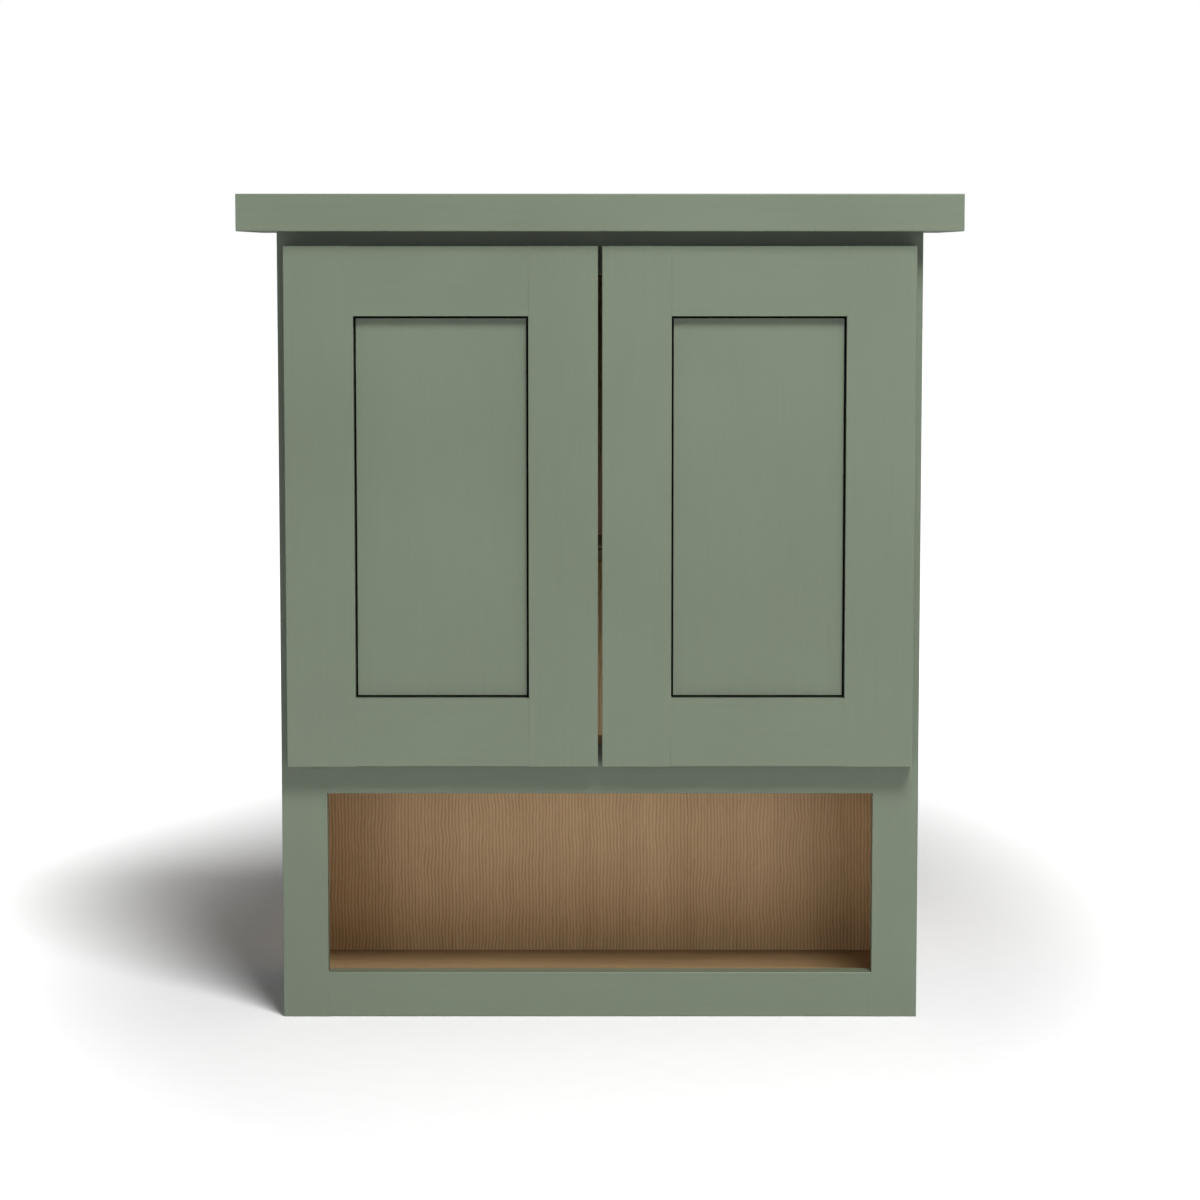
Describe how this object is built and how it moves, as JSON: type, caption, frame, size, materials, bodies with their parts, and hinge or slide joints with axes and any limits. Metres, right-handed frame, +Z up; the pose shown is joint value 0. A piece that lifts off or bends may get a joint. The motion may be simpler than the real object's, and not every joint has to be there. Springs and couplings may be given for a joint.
{
  "type": "wall-mounted bathroom cabinet",
  "caption": "Wall-mounted face-frame bathroom cabinet with two recessed-panel doors on concealed hinges, an open niche below and an overhanging flat crown.",
  "frame": {"origin": "centre of the four wall screw holes, on the wall plane, which is the cabinet's back", "axes": "+Z up, +Y into the wall, so the doors face -Y; +X to the right for someone who faces the cabinet"},
  "size_m": [0.6794, 0.2381, 0.7874],
  "materials": {
    "sage_paint": "satin sage-green paint on solid wood",
    "painted_panel": "side panels, satin sage-green paint outside and oak veneer inside",
    "oak_panel": "satin oak veneer",
    "oak_back": "satin oak veneer with upright grain",
    "raw_timber": "planed, unfinished",
    "nickel_steel": "nickel-plated pressed steel",
    "clear_bumper": "soft translucent polyurethane"
  },
  "bodies": {
    "cabinet": {"left_side_panel": "painted_panel", "right_side_panel": "painted_panel", "top_panel": "oak_panel", "divider_panel": "oak_panel", "bottom_panel": "oak_panel", "back_panel": "oak_back", "upper_hanging_rail": "raw_timber", "middle_hanging_rail": "raw_timber", "lower_hanging_rail": "raw_timber", "adjustable_shelf": "oak_panel", "shelf_pins": "nickel_steel", "left_frame_stile": "sage_paint", "right_frame_stile": "sage_paint", "top_frame_rail": "sage_paint", "middle_frame_rail": "sage_paint", "bottom_frame_rail": "sage_paint", "frame_dowels": "raw_timber", "crown_front": "sage_paint", "crown_left_return": "sage_paint", "crown_right_return": "sage_paint", "crown_rear_rail": "sage_paint", "cap_panel": "sage_paint", "crown_screws": "nickel_steel", "left_upper_hinge_arm": "nickel_steel", "left_lower_hinge_arm": "nickel_steel", "left_arm_screws": "nickel_steel", "right_upper_hinge_arm": "nickel_steel", "right_lower_hinge_arm": "nickel_steel", "right_arm_screws": "nickel_steel"},
    "left_door": {"left_door_hinge_stile": "sage_paint", "left_door_free_stile": "sage_paint", "left_door_top_rail": "sage_paint", "left_door_bottom_rail": "sage_paint", "left_door_panel": "sage_paint", "left_door_bumpers": "clear_bumper", "left_upper_hinge_cup": "nickel_steel", "left_lower_hinge_cup": "nickel_steel", "left_hinge_pins": "nickel_steel", "left_cup_screws": "nickel_steel"},
    "right_door": {"right_door_hinge_stile": "sage_paint", "right_door_free_stile": "sage_paint", "right_door_top_rail": "sage_paint", "right_door_bottom_rail": "sage_paint", "right_door_panel": "sage_paint", "right_door_bumpers": "clear_bumper", "right_upper_hinge_cup": "nickel_steel", "right_lower_hinge_cup": "nickel_steel", "right_hinge_pins": "nickel_steel", "right_cup_screws": "nickel_steel"}
  },
  "joints": [
    {"name": "left_door_swing", "type": "hinge", "parent": "cabinet", "child": "left_door", "pos_m": [-0.2908, -0.2158, -0.1785], "axis": [0, 0, -1], "range_deg": [0, 105]},
    {"name": "right_door_swing", "type": "hinge", "parent": "cabinet", "child": "right_door", "pos_m": [0.2908, -0.2158, -0.1785], "axis": [0, 0, 1], "range_deg": [0, 105]}
  ]
}
